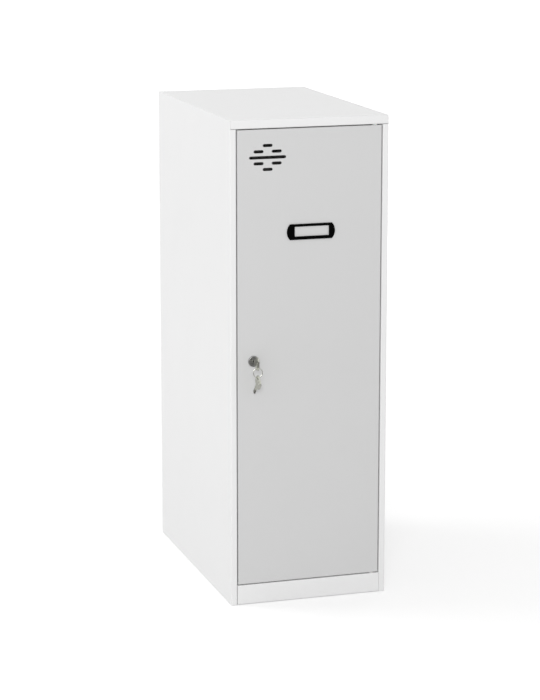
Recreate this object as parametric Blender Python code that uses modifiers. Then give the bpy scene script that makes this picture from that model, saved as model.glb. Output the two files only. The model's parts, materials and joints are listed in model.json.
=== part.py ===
"""A steel clothes locker with one door on hidden pivots, a cam lock and two keys on a ring.

Metres, +Z up, the front faces -Y. The origin is on the floor, under the middle of the whole locker
with its keys. The sheet-metal pieces are folded sheets with a hairline seam where they are welded.
"""

from math import asin, cos, pi, radians, sin

import bmesh
import bpy
from mathutils import Euler, Matrix, Vector

# Carcass
WIDTH = 0.300
DEPTH = 0.500
HEIGHT = 0.900
SHEET = 0.001
BACK_SHEET = 0.0008
BEND_INSIDE = 0.001
SEAM = 0.0003

# Front frame
STILE_WIDTH = 0.0115
TOP_RAIL_HEIGHT = 0.016
TOP_RETURN = 0.020
TRAY_LIP = 0.008
KICK_HEIGHT = 0.037
KICK_FOOT = 0.012
KICK_LAP = 0.008
STOP_DEPTH = 0.020
STOP_LIP = 0.0125
REAR_FLANGE = 0.015
FLOOR_LIP = 0.012

# Door
DOOR_GAP = 0.0018
DOOR_DEPTH = 0.0175
DOOR_HEM = 0.012
STIFFENER_WIDTH = 0.024
STIFFENER_FOOT = 0.010
STIFFENER_DEPTH = 0.014
STIFFENER_END_GAP = 0.040

# Vent slots
VENT_FROM_EDGE = 0.0569
VENT_FROM_TOP = 0.0504
VENT_PITCH = 0.01075
VENT_SLOT_HEIGHT = 0.0056
VENT_SHORT_SLOT = 0.0185
VENT_LONG_SLOT = 0.069
VENT_PAIR_OFFSET = 0.017
SLOT_ROUND_SHARE = 0.49

# Hinge pivots
HINGE_INSET = 0.012
HINGE_SETBACK = 0.0065
PIN_RADIUS = 0.0025
PIN_HEAD_RADIUS = 0.004
PIN_HEAD_HEIGHT = 0.002
PIN_ENGAGEMENT = 0.0075
PIN_CHAMFER = 0.0005
BUSH_RADIUS = 0.004
BUSH_FLANGE_RADIUS = 0.005
BUSH_LENGTH = 0.006
BRACKET_SHEET = 0.002
BRACKET_LENGTH = 0.034
BRACKET_DROP = 0.030

# Door bumpers
BUMPER_RADIUS = 0.0045
BUMPER_STEM_RADIUS = 0.0018
BUMPER_BARB_RADIUS = 0.0026
BUMPER_BARB = 0.0016
BUMPER_CHAMFER = 0.0005
BUMPER_FROM_END = 0.101
BUMPER_ABOVE_LOCK = 0.101

# Card frame
CARD_FROM_EDGE = 0.1385
CARD_FROM_TOP = 0.1878
CARD_STRAIGHT = 0.0795
CARD_HEIGHT = 0.0287
CARD_END_BULGE = 0.0058
CARD_WINDOW_WIDTH = 0.065
CARD_WINDOW_HEIGHT = 0.0178
CARD_WINDOW_RIGHT = 0.0016
CARD_WINDOW_UP = 0.0006
CARD_THICKNESS = 0.002
CARD_STUD_RADIUS = 0.0015
CARD_STUD_REACH = 0.0038

# Lock
LOCK_FROM_EDGE = 0.030
LOCK_HEIGHT = 0.4605
ROSETTE_RADIUS = 0.01025
ROSETTE_PROUD = 0.0025
ROSETTE_ROUND = 0.0015
BARREL_RADIUS = 0.008
PLUG_RADIUS = 0.0052
CAM_CLEARANCE = 0.001
DRIVE_SIZE = 0.0064
CAM_THICKNESS = 0.0025
CAM_HUB_RADIUS = 0.008
CAM_WIDTH = 0.012
CAM_REACH = 0.029
NUT_RADIUS = 0.0125
NUT_THICKNESS = 0.0035
WASHER_RADIUS = 0.0055
WASHER_THICKNESS = 0.001
BOLT_RADIUS = 0.0015
BOLT_HEAD_RADIUS = 0.004
BOLT_HEAD_HEIGHT = 0.0026
BOLT_GRIP = 0.006

# Keys
KEY_THICKNESS = 0.002
KEY_BLADE_HEIGHT = 0.007
KEY_BLADE_LENGTH = 0.0125
KEY_NECK_HEIGHT = 0.0082
KEY_NECK_LENGTH = 0.010
KEY_BOW_LENGTH = 0.020
KEY_BOW_WIDTH = 0.0245
KEY_BOW_ROUND = 0.007
KEY_SLOT_LENGTH = 0.017
KEY_SLOT_WIDTH = 0.004
KEY_SLOT_FROM_END = 0.0055
KEY_POINT = 0.0025
KEY_CUT_SHARES = (0.18, 0.34, 0.12, 0.28, 0.20)
KEY_CUT_RUN_SHARE = 1 / 3
RING_DIAMETER = 0.0184
RING_WIRE_RADIUS = 0.00075
SPARE_KEY_TILT = radians(42)
SPARE_KEY_TWIST = radians(4)

# Shelf and hanging rail
SHELF_HEIGHT = 0.690
SHELF_SETBACK = 0.035
SHELF_DEPTH = 0.018
SHELF_LIP = 0.006
SUPPORT_LEG = 0.015
SUPPORT_END_GAP = 0.010
RAIL_TO_SUPPORT = 0.004
RAIL_RADIUS = 0.009
RAIL_WALL = 0.0012
CRADLE_WALL = 0.0025
CRADLE_RISE = 0.006
CRADLE_REACH = 0.012
CRADLE_PLATE_MARGIN = 0.007

# Rounds and cuts
BEND_STEPS = 4
ROUND_STEPS = 32
SMALL_ROUND_STEPS = 20
CORNER_STEPS = 9
WIRE_STEPS = 8
HEXAGON = 6
CUT_OVERRUN = 0.004
MERGE_DISTANCE = 0.000001
SMOOTH_ANGLE = radians(35)

# Turns that stand a shape drawn in local XY in the named plane of the locker
UPRIGHT = {
    "XY": (0, 0, 0),
    "YZ": (radians(90), 0, radians(90)),
    "ZX": (radians(-90), radians(-90), 0),
    "front": (radians(90), 0, 0),
}

# Places worked out from the sizes above
HALF_WIDTH = WIDTH / 2
INNER_HALF_WIDTH = HALF_WIDTH - SHEET
TRAY_HALF_WIDTH = INNER_HALF_WIDTH - SEAM
BEND_OUTSIDE = BEND_INSIDE + SHEET
STILE_EDGE = HALF_WIDTH - STILE_WIDTH

# The ring sits in a round end of each key's slot. The spare key hangs tilted in its own plane.
KEY_REACH = ROSETTE_PROUD + KEY_NECK_LENGTH + KEY_BOW_LENGTH
KEY_SLOT_REACH = KEY_REACH - KEY_SLOT_FROM_END
SLOT_ROUND_PLACE = (KEY_SLOT_LENGTH - KEY_SLOT_WIDTH) / 2
RING_PLAY = KEY_SLOT_WIDTH / 2 - RING_WIRE_RADIUS - SEAM
SPARE_KEY_TURN = (
    Matrix.Rotation(SPARE_KEY_TWIST, 3, "Z")
    @ Matrix.Rotation(SPARE_KEY_TILT - pi / 2, 3, "X")
    @ Euler(UPRIGHT["YZ"]).to_matrix()
)
UP_ON_SPARE_KEY = SPARE_KEY_TURN.transposed() @ Vector((0, 0, 1))
OUT_ON_SPARE_KEY = SPARE_KEY_TURN.transposed() @ Vector((0, -1, 0))
SPARE_KEY_HELD = Vector((-KEY_SLOT_REACH, SLOT_ROUND_PLACE, 0)) + RING_PLAY * UP_ON_SPARE_KEY
BOW_CENTRE = Vector((KEY_BOW_LENGTH / 2 - KEY_REACH, 0, 0))
BOW_CORNER = (KEY_BOW_LENGTH / 2 - KEY_BOW_ROUND, KEY_BOW_WIDTH / 2 - KEY_BOW_ROUND, KEY_THICKNESS / 2)
SPARE_KEY_SPREAD = (
    OUT_ON_SPARE_KEY.dot(BOW_CENTRE - SPARE_KEY_HELD)
    + sum(abs(share) * reach for share, reach in zip(OUT_ON_SPARE_KEY, BOW_CORNER))
    + OUT_ON_SPARE_KEY.xy.length * KEY_BOW_ROUND
)
FRONT_REACH = max(KEY_REACH, KEY_SLOT_REACH + SPARE_KEY_SPREAD)

FRONT_Y = (FRONT_REACH - DEPTH) / 2
BACK_Y = FRONT_Y + DEPTH
BACK_PANEL_FRONT = BACK_Y - SHEET - SEAM - BACK_SHEET
STOP_Y = FRONT_Y + STOP_DEPTH
FLOOR_FRONT = STOP_Y + SHEET + SEAM
FLOOR_TOP = KICK_HEIGHT - SHEET - SEAM
RAIL_BOTTOM = HEIGHT - TOP_RAIL_HEIGHT

DOOR_HALF_WIDTH = STILE_EDGE - DOOR_GAP
DOOR_BOTTOM = KICK_HEIGHT + DOOR_GAP
DOOR_TOP = RAIL_BOTTOM - DOOR_GAP
DOOR_MIDDLE = (DOOR_BOTTOM + DOOR_TOP) / 2
DOOR_HEIGHT = DOOR_TOP - DOOR_BOTTOM
HINGE_X = DOOR_HALF_WIDTH - HINGE_INSET
HINGE_Y = FRONT_Y + HINGE_SETBACK

LOCK_X = LOCK_FROM_EDGE - DOOR_HALF_WIDTH
BORE_RADIUS = PLUG_RADIUS + SEAM
PLUG_END = STOP_DEPTH + SHEET + CAM_CLEARANCE
DRIVE_END = PLUG_END + CAM_THICKNESS
WASHER_START = DRIVE_END + 2 * SEAM
BOLT_HEAD_START = WASHER_START + WASHER_THICKNESS + SEAM

LEDGE_TOP = SHELF_HEIGHT - SHELF_DEPTH - SEAM
CRADLE_HALF_PLATE = RAIL_RADIUS + SEAM + CRADLE_WALL + CRADLE_PLATE_MARGIN
RAIL_Y = (FRONT_Y + SHELF_SETBACK + BACK_PANEL_FRONT) / 2
RAIL_Z = LEDGE_TOP - SHEET / 2 - SUPPORT_LEG - RAIL_TO_SUPPORT - CRADLE_HALF_PLATE

RING_RADIUS = RING_DIAMETER / 2 - RING_WIRE_RADIUS
RING_DROP = Vector((0, 0, -RING_RADIUS))
RING_TOP = Vector((LOCK_X, FRONT_Y - KEY_SLOT_REACH, LOCK_HEIGHT - SLOT_ROUND_PLACE - RING_PLAY))
RING_BOTTOM = RING_TOP + 2 * RING_DROP

# Finishes: colour, roughness, metallic
WHITE_PAINT = ((0.84, 0.84, 0.83), 0.38, 0.0)
GREY_PAINT = ((0.64, 0.64, 0.64), 0.42, 0.0)
ZINC = ((0.62, 0.63, 0.64), 0.35, 1.0)
NICKEL = ((0.70, 0.70, 0.66), 0.22, 1.0)
DARK_NICKEL = ((0.20, 0.20, 0.20), 0.32, 1.0)
BLACK_PLASTIC = ((0.012, 0.012, 0.012), 0.45, 0.0)
WHITE_NYLON = ((0.80, 0.80, 0.77), 0.50, 0.0)
GREY_RUBBER = ((0.16, 0.16, 0.16), 0.75, 0.0)


def start_collection(name):
    collection = bpy.data.collections.new(name)
    bpy.context.scene.collection.children.link(collection)
    return collection


for old in list(bpy.data.objects):
    bpy.data.objects.remove(old, do_unlink=True)
PARTS = start_collection("locker")
CUTTERS = start_collection("locker cutters")


def finish(obj, look):
    """Gives a piece its own material and smooth rounds."""
    colour, roughness, metallic = look
    material = bpy.data.materials.new(obj.name)
    material.use_nodes = True
    shader = material.node_tree.nodes["Principled BSDF"]
    shader.inputs["Base Color"].default_value = (*colour, 1)
    shader.inputs["Roughness"].default_value = roughness
    shader.inputs["Metallic"].default_value = metallic
    obj.data.materials.clear()
    obj.data.materials.append(material)
    obj.data.shade_smooth()
    obj.data.set_sharp_from_angle(angle=SMOOTH_ANGLE)
    return obj


def mesh_object(name, bm, collection=None):
    mesh = bpy.data.meshes.new(name)
    bm.to_mesh(mesh)
    bm.free()
    obj = bpy.data.objects.new(name, mesh)
    (collection or PARTS).objects.link(obj)
    return obj


def as_cutter(name, bm):
    obj = mesh_object(name, bm, CUTTERS)
    obj.hide_render = True
    obj.display_type = "WIRE"
    return obj


def add_block(bm, corner, opposite):
    """A box between any two opposite corners. Returns its vertices."""
    low = [min(pair) for pair in zip(corner, opposite)]
    high = [max(pair) for pair in zip(corner, opposite)]
    middle = Vector([(a + b) / 2 for a, b in zip(low, high)])
    size = Vector([b - a for a, b in zip(low, high)])
    made = bmesh.ops.create_cube(bm, size=1, matrix=Matrix.LocRotScale(middle, None, size))
    return made["verts"]


def add_rod(bm, start, end, radius, steps=SMALL_ROUND_STEPS):
    """A closed cylinder from start to end."""
    start, end = Vector(start), Vector(end)
    turn = (end - start).to_track_quat("Z", "Y")
    bmesh.ops.create_cone(
        bm, cap_ends=True, segments=steps, radius1=radius, radius2=radius,
        depth=(end - start).length, matrix=Matrix.LocRotScale((start + end) / 2, turn, None),
    )


def combine(obj, tool, operation):
    modifier = obj.modifiers.new(tool.name, "BOOLEAN")
    modifier.operation = operation
    modifier.object = tool
    modifier.solver = "EXACT"
    return obj


def cut_block(obj, corner, opposite):
    bm = bmesh.new()
    add_block(bm, corner, opposite)
    return combine(obj, as_cutter(f"{obj.name} notch", bm), "DIFFERENCE")


def cut_hole(obj, start, end, radius, steps=SMALL_ROUND_STEPS):
    bm = bmesh.new()
    add_rod(bm, start, end, radius, steps)
    return combine(obj, as_cutter(f"{obj.name} hole", bm), "DIFFERENCE")


def thicken(obj, sheet, offset):
    modifier = obj.modifiers.new("sheet", "SOLIDIFY")
    modifier.thickness = sheet
    modifier.offset = offset
    modifier.use_even_offset = True


def square_bends(points, radius):
    """The path through the points, with a quarter round at each inner corner."""
    points = [Vector(point) for point in points]
    path = [points[0]]
    for before, corner, after in zip(points, points[1:], points[2:]):
        into = (corner - before).normalized()
        out = (after - corner).normalized()
        centre = corner + (out - into) * radius
        for step in range(BEND_STEPS + 1):
            angle = pi / 2 * step / BEND_STEPS
            path.append(centre + (into * sin(angle) - out * cos(angle)) * radius)
    path.append(points[-1])
    return path


def bent_sheet(name, points, ends, plane, sheet=SHEET):
    """A folded sheet: its middle line in a plane, drawn out between the ends across that plane."""
    bm = bmesh.new()
    line = [bm.verts.new((u, v, ends[0])) for u, v in square_bends(points, BEND_INSIDE + sheet / 2)]
    edges = [bm.edges.new(pair) for pair in zip(line, line[1:])]
    drawn = bmesh.ops.extrude_edge_only(bm, edges=edges)["geom"]
    moved = [item for item in drawn if isinstance(item, bmesh.types.BMVert)]
    bmesh.ops.translate(bm, verts=moved, vec=(0, 0, ends[1] - ends[0]))
    bmesh.ops.recalc_face_normals(bm, faces=bm.faces)
    obj = mesh_object(name, bm)
    obj.rotation_euler = UPRIGHT[plane]
    thicken(obj, sheet, 0)
    return obj


def tray(name, width, length, depth, lips, sheet=SHEET):
    """A folded tray whose plate faces local +Z at z = 0, with a flange down each side.

    lips gives the widths turned inwards under the side flanges, the -Y flange and the +Y flange.
    """
    side_lip, near_lip, far_lip = lips
    bm = bmesh.new()
    add_block(bm, (-width / 2, -length / 2, -depth), (width / 2, length / 2, 0))
    bm.normal_update()
    plate = max(bm.faces, key=lambda face: face.normal.z)
    open_side = min(bm.faces, key=lambda face: face.normal.z)
    rim = list(open_side.edges)
    plate_edges = list(plate.edges)
    bmesh.ops.delete(bm, geom=[open_side], context="FACES_ONLY")
    turned_in = bmesh.ops.extrude_edge_only(bm, edges=rim)["geom"]
    for vert in (item for item in turned_in if isinstance(item, bmesh.types.BMVert)):
        vert.co.x -= side_lip if vert.co.x > 0 else -side_lip
        vert.co.y -= far_lip if vert.co.y > 0 else -near_lip
    bmesh.ops.recalc_face_normals(bm, faces=bm.faces)
    bmesh.ops.bevel(
        bm, geom=plate_edges + rim, offset=BEND_INSIDE + sheet, offset_type="OFFSET",
        segments=BEND_STEPS, profile=0.5, affect="EDGES", material=-1,
    )
    obj = mesh_object(name, bm)
    thicken(obj, sheet, -1)
    return obj


def turned(name, profile, closed, steps=ROUND_STEPS):
    """A turned piece about local Z. The profile (radius, z) runs down its outer side."""
    bm = bmesh.new()
    line = [bm.verts.new((radius, 0, z)) for radius, z in profile]
    for pair in zip(line, line[1:]):
        bm.edges.new(pair)
    if closed:
        bm.edges.new((line[-1], line[0]))
    obj = mesh_object(name, bm)
    screw = obj.modifiers.new("turn", "SCREW")
    screw.steps = screw.render_steps = steps
    screw.use_merge_vertices = True
    screw.merge_threshold = MERGE_DISTANCE
    return obj


def circle_points(radius, steps, centre=(0, 0), start=0, sweep=2 * pi):
    """Points round an arc. A full circle leaves out its last point, which is its first."""
    count = steps if sweep == 2 * pi else steps + 1
    angles = [start + sweep * step / steps for step in range(count)]
    return [(centre[0] + radius * cos(a), centre[1] + radius * sin(a)) for a in angles]


def rectangle(width, height):
    return [(x * width / 2, y * height / 2) for x, y in ((-1, -1), (1, -1), (1, 1), (-1, 1))]


def flat_plate(name, outlines, thickness):
    """A plate cut from flat stock, centred on local z = 0. The outlines after the first are holes."""
    curve = bpy.data.curves.new(name, "CURVE")
    curve.dimensions = "2D"
    curve.fill_mode = "BOTH"
    curve.extrude = thickness / 2
    for outline in outlines:
        spline = curve.splines.new("POLY")
        spline.points.add(len(outline) - 1)
        for point, (x, y) in zip(spline.points, outline):
            point.co = (x, y, 0, 1)
        spline.use_cyclic_u = True
    drawing = bpy.data.objects.new(f"{name} outline", curve)
    PARTS.objects.link(drawing)
    evaluated = drawing.evaluated_get(bpy.context.evaluated_depsgraph_get())
    mesh = bpy.data.meshes.new_from_object(evaluated)
    bm = bmesh.new()
    bm.from_mesh(mesh)
    bmesh.ops.remove_doubles(bm, verts=bm.verts, dist=MERGE_DISTANCE)
    bmesh.ops.recalc_face_normals(bm, faces=bm.faces)
    obj = mesh_object(name, bm)
    obj.matrix_world = drawing.matrix_world
    bpy.data.objects.remove(drawing)
    bpy.data.meshes.remove(mesh)
    return obj


def stand(obj, place, plane="front"):
    """Puts a piece drawn in local XY at its place, stood up in the named plane."""
    obj.location = place
    obj.rotation_euler = UPRIGHT[plane]
    return obj


def side_panel(name, side):
    """side is -1 on the left, which has the stop lip, and 1 on the hinge side."""
    middle = SHEET / 2
    outer = side * (HALF_WIDTH - middle)
    stile = side * (STILE_EDGE + middle)
    points = [
        (side * (HALF_WIDTH - REAR_FLANGE), BACK_Y - middle),
        (outer, BACK_Y - middle),
        (outer, FRONT_Y + middle),
        (stile, FRONT_Y + middle),
    ]
    if side < 0:
        points += [(stile, STOP_Y + middle), (side * (STILE_EDGE - STOP_LIP), STOP_Y + middle)]
    else:
        points += [(stile, STOP_Y + SHEET)]
    panel = bent_sheet(name, points, (0, HEIGHT), "XY")
    cut_block(
        panel,
        (side * (INNER_HALF_WIDTH - SEAM / 2), FRONT_Y - CUT_OVERRUN, RAIL_BOTTOM - SEAM),
        (side * (STILE_EDGE - STOP_LIP - CUT_OVERRUN), FLOOR_FRONT, HEIGHT + CUT_OVERRUN),
    )
    return finish(panel, WHITE_PAINT)


def left_side_panel():
    """The left side, whose stop lip is cut away over the kick plate and holed for the bumpers."""
    panel = side_panel("side_panel_left", -1)
    cut_block(
        panel,
        (SEAM / 2 - STILE_EDGE, FRONT_Y + SHEET + SEAM, -CUT_OVERRUN),
        (STOP_LIP + CUT_OVERRUN - STILE_EDGE, FLOOR_FRONT, KICK_HEIGHT + SEAM),
    )
    for x, z in bumper_places().values():
        ends = [(x, y, z) for y in (STOP_Y - CUT_OVERRUN, STOP_Y + CUT_OVERRUN)]
        cut_hole(panel, *ends, BUMPER_STEM_RADIUS + SEAM)
    return panel


def bumper_places():
    """Where each bumper sits on the stop lip, as x and z."""
    x = (BEND_OUTSIDE + STOP_LIP) / 2 - STILE_EDGE
    return {
        "low": (x, DOOR_BOTTOM + BUMPER_FROM_END),
        "middle": (x, LOCK_HEIGHT + BUMPER_ABOVE_LOCK),
        "high": (x, DOOR_TOP - BUMPER_FROM_END),
    }


def top_panel():
    length = BACK_PANEL_FRONT - SEAM - FRONT_Y
    lips = (TRAY_LIP, TOP_RETURN, TRAY_LIP)
    panel = tray("top_panel", 2 * TRAY_HALF_WIDTH, length, TOP_RAIL_HEIGHT, lips)
    stand(panel, (0, FRONT_Y + length / 2, HEIGHT), "XY")
    hinge_hole(panel, RAIL_BOTTOM, BUSH_RADIUS + SEAM)
    return finish(panel, WHITE_PAINT)


def floor_panel():
    length = BACK_PANEL_FRONT - SEAM - FLOOR_FRONT
    panel = tray("floor_panel", 2 * TRAY_HALF_WIDTH, length, FLOOR_TOP, (FLOOR_LIP,) * 3)
    stand(panel, (0, FLOOR_FRONT + length / 2, FLOOR_TOP), "XY")
    return finish(panel, WHITE_PAINT)


def back_panel():
    bm = bmesh.new()
    back = BACK_PANEL_FRONT + BACK_SHEET
    add_block(bm, (-TRAY_HALF_WIDTH, BACK_PANEL_FRONT, 0), (TRAY_HALF_WIDTH, back, HEIGHT))
    return finish(mesh_object("back_panel", bm), WHITE_PAINT)


def kick_plate():
    middle = SHEET / 2
    points = [
        (FRONT_Y + KICK_FOOT, middle),
        (FRONT_Y + middle, middle),
        (FRONT_Y + middle, KICK_HEIGHT - middle),
        (FLOOR_FRONT + KICK_LAP, KICK_HEIGHT - middle),
    ]
    plate = bent_sheet("kick_plate", points, (SEAM - STILE_EDGE, STILE_EDGE - SEAM), "YZ")
    hinge_hole(plate, KICK_HEIGHT, BUSH_RADIUS + SEAM)
    return finish(plate, WHITE_PAINT)


def hinge_hole(obj, level, radius):
    """A hole on the hinge axis through the sheet at this level."""
    ends = [(HINGE_X, HINGE_Y, level + reach) for reach in (-CUT_OVERRUN, CUT_OVERRUN)]
    return cut_hole(obj, *ends, radius)


def hinge_bush(name, level, up):
    """A flanged bush. Its flange lies in the door gap and its body goes away from the door."""
    bore = PIN_RADIUS + SEAM
    flange = DOOR_GAP - 2 * SEAM
    profile = [
        (bore, BUSH_LENGTH),
        (BUSH_RADIUS, BUSH_LENGTH),
        (BUSH_RADIUS, -SEAM),
        (BUSH_FLANGE_RADIUS, -SEAM),
        (BUSH_FLANGE_RADIUS, -SEAM - flange),
        (bore, -SEAM - flange),
    ]
    bush = turned(name, profile, True)
    bush.location = (HINGE_X, HINGE_Y, level)
    bush.rotation_euler = (0 if up else pi, 0, 0)
    return finish(bush, WHITE_NYLON)


def hat_shelf():
    length = BACK_PANEL_FRONT - SEAM - FRONT_Y - SHELF_SETBACK
    shelf = tray("hat_shelf", 2 * TRAY_HALF_WIDTH, length, SHELF_DEPTH, (SHELF_LIP,) * 3)
    stand(shelf, (0, FRONT_Y + SHELF_SETBACK + length / 2, SHELF_HEIGHT), "XY")
    return finish(shelf, WHITE_PAINT)


def shelf_support(name, side):
    """An angle welded to the side panel, with its ledge under the shelf's flange."""
    x = side * (TRAY_HALF_WIDTH - SHEET / 2)
    z = LEDGE_TOP - SHEET / 2
    points = [(z - SUPPORT_LEG, x), (z, x), (z, x - side * SUPPORT_LEG)]
    ends = (FRONT_Y + SHELF_SETBACK + SUPPORT_END_GAP, BACK_PANEL_FRONT - SUPPORT_END_GAP)
    return finish(bent_sheet(name, points, ends, "ZX"), WHITE_PAINT)


def hanging_rail():
    reach = TRAY_HALF_WIDTH - CRADLE_WALL - SEAM
    profile = [
        (RAIL_RADIUS - RAIL_WALL, reach),
        (RAIL_RADIUS, reach),
        (RAIL_RADIUS, -reach),
        (RAIL_RADIUS - RAIL_WALL, -reach),
    ]
    rail = turned("hanging_rail", profile, True)
    return finish(stand(rail, (0, RAIL_Y, RAIL_Z), "YZ"), ZINC)


def rail_cradle(name, side):
    """A plate welded to the side panel, with a saddle open at the top that holds the rail."""
    inner = RAIL_RADIUS + SEAM
    outer = inner + CRADLE_WALL
    saddle_outline = circle_points(outer, SMALL_ROUND_STEPS, start=pi, sweep=pi)
    saddle_outline += [(outer, CRADLE_RISE), (inner, CRADLE_RISE)]
    saddle_outline += circle_points(inner, SMALL_ROUND_STEPS, start=2 * pi, sweep=-pi)
    saddle_outline += [(-inner, CRADLE_RISE), (-outer, CRADLE_RISE)]
    saddle = flat_plate(name, [saddle_outline], CRADLE_REACH)
    plate_x = side * TRAY_HALF_WIDTH
    middle_x = plate_x - side * (CRADLE_WALL / 2 + CRADLE_REACH / 2)
    stand(saddle, (middle_x, RAIL_Y, RAIL_Z), "YZ")
    bm = bmesh.new()
    add_block(
        bm,
        (plate_x, RAIL_Y - CRADLE_HALF_PLATE, RAIL_Z - CRADLE_HALF_PLATE),
        (plate_x - side * CRADLE_WALL, RAIL_Y + CRADLE_HALF_PLATE, RAIL_Z + CRADLE_HALF_PLATE),
    )
    combine(saddle, as_cutter(f"{name} plate", bm), "UNION")
    return finish(saddle, ZINC)


def door_bumper(name, place):
    """A pressed-in rubber buffer, with its head towards the door."""
    head = STOP_DEPTH - DOOR_DEPTH - SEAM
    behind = -SHEET - SEAM
    profile = [
        (0, head),
        (BUMPER_RADIUS - BUMPER_CHAMFER, head),
        (BUMPER_RADIUS, head - BUMPER_CHAMFER),
        (BUMPER_RADIUS, SEAM),
        (BUMPER_STEM_RADIUS, SEAM),
        (BUMPER_STEM_RADIUS, behind),
        (BUMPER_BARB_RADIUS, behind),
        (BUMPER_STEM_RADIUS, behind - BUMPER_BARB),
        (0, behind - BUMPER_BARB),
    ]
    bumper = turned(name, profile, False, SMALL_ROUND_STEPS)
    return finish(stand(bumper, (place[0], STOP_Y, place[1])), GREY_RUBBER)


def add_slot(bm, x, z, length):
    """One vent slot's cutter, with round ends."""
    half_length, half_height = length / 2, VENT_SLOT_HEIGHT / 2
    verts = add_block(
        bm,
        (x - half_length, FRONT_Y - CUT_OVERRUN, z - half_height),
        (x + half_length, FRONT_Y + CUT_OVERRUN, z + half_height),
    )
    edges = {edge for vert in verts for edge in vert.link_edges}
    through = [edge for edge in edges if edge.verts[0].co.xz == edge.verts[1].co.xz]
    bmesh.ops.bevel(
        bm, geom=through, offset=VENT_SLOT_HEIGHT * SLOT_ROUND_SHARE, offset_type="OFFSET",
        segments=BEND_STEPS, profile=0.5, affect="EDGES", material=-1,
    )


def vent_slots():
    """Places of the vent slots: x offset, row and length. Rows count from the long one."""
    yield 0, 0, VENT_LONG_SLOT
    for row in (-1, 1):
        yield -VENT_PAIR_OFFSET, row, VENT_SHORT_SLOT
        yield VENT_PAIR_OFFSET, row, VENT_SHORT_SLOT
        yield 0, 2 * row, VENT_SHORT_SLOT


def card_place():
    return CARD_FROM_EDGE - DOOR_HALF_WIDTH, DOOR_TOP - CARD_FROM_TOP


def card_stud_places():
    """The studs sit midway between the window and the frame's ends."""
    x, z = card_place()
    reach = (CARD_WINDOW_WIDTH + CARD_STRAIGHT) / 4 + CARD_END_BULGE / 2
    return [(x - reach, z), (x + reach, z)]


def door_panel():
    panel = tray("door_panel", 2 * DOOR_HALF_WIDTH, DOOR_HEIGHT, DOOR_DEPTH, (DOOR_HEM,) * 3)
    stand(panel, (0, FRONT_Y, DOOR_MIDDLE))
    vent_x, vent_z = VENT_FROM_EDGE - DOOR_HALF_WIDTH, DOOR_TOP - VENT_FROM_TOP
    bm = bmesh.new()
    for offset, row, length in vent_slots():
        add_slot(bm, vent_x + offset, vent_z + row * VENT_PITCH, length)
    combine(panel, as_cutter("door_panel vents", bm), "DIFFERENCE")
    door_hole(panel, LOCK_X, LOCK_HEIGHT, BARREL_RADIUS + SEAM, ROUND_STEPS)
    for x, z in card_stud_places():
        door_hole(panel, x, z, CARD_STUD_RADIUS + SEAM, SMALL_ROUND_STEPS)
    for level in (DOOR_BOTTOM, DOOR_TOP):
        hinge_hole(panel, level, PIN_RADIUS + SEAM)
    return finish(panel, GREY_PAINT)


def door_hole(obj, x, z, radius, steps):
    return cut_hole(obj, (x, FRONT_Y - CUT_OVERRUN, z), (x, FRONT_Y + CUT_OVERRUN, z), radius, steps)


def door_stiffener():
    near = FRONT_Y + SHEET + SEAM + SHEET / 2
    far = near + STIFFENER_DEPTH - SHEET
    half = STIFFENER_WIDTH / 2
    foot = half + STIFFENER_FOOT
    points = [(-foot, near), (-half, near), (-half, far), (half, far), (half, near), (foot, near)]
    ends = (DOOR_BOTTOM + STIFFENER_END_GAP, DOOR_TOP - STIFFENER_END_GAP)
    return finish(bent_sheet("door_stiffener", points, ends, "XY"), GREY_PAINT)


def pivot_bracket(name, level, up):
    """A thick angle inside a door corner. It carries the hinge pin under the door's edge sheet."""
    away = -1 if up else 1
    z = level + away * (SHEET + SEAM + BRACKET_SHEET / 2)
    x = DOOR_HALF_WIDTH - SHEET - SEAM - BRACKET_SHEET / 2
    points = [(z + away * BRACKET_DROP, x), (z, x), (z, x - BRACKET_LENGTH)]
    ends = (FRONT_Y + SHEET + SEAM, FRONT_Y + DOOR_DEPTH - SHEET - SEAM)
    bracket = bent_sheet(name, points, ends, "ZX", BRACKET_SHEET)
    hinge_hole(bracket, z, PIN_RADIUS + SEAM)
    return finish(bracket, ZINC)


def hinge_pin(name, level, up):
    """Its head is inside the door, and its shank ends in the bush."""
    seat = -SHEET - BRACKET_SHEET - 2 * SEAM
    tip = DOOR_GAP + PIN_ENGAGEMENT
    profile = [
        (0, tip),
        (PIN_RADIUS - PIN_CHAMFER, tip),
        (PIN_RADIUS, tip - PIN_CHAMFER),
        (PIN_RADIUS, seat),
        (PIN_HEAD_RADIUS, seat),
        (PIN_HEAD_RADIUS, seat - PIN_HEAD_HEIGHT),
        (0, seat - PIN_HEAD_HEIGHT),
    ]
    pin = turned(name, profile, False, SMALL_ROUND_STEPS)
    pin.location = (HINGE_X, HINGE_Y, level)
    pin.rotation_euler = (0 if up else pi, 0, 0)
    return finish(pin, ZINC)


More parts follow.
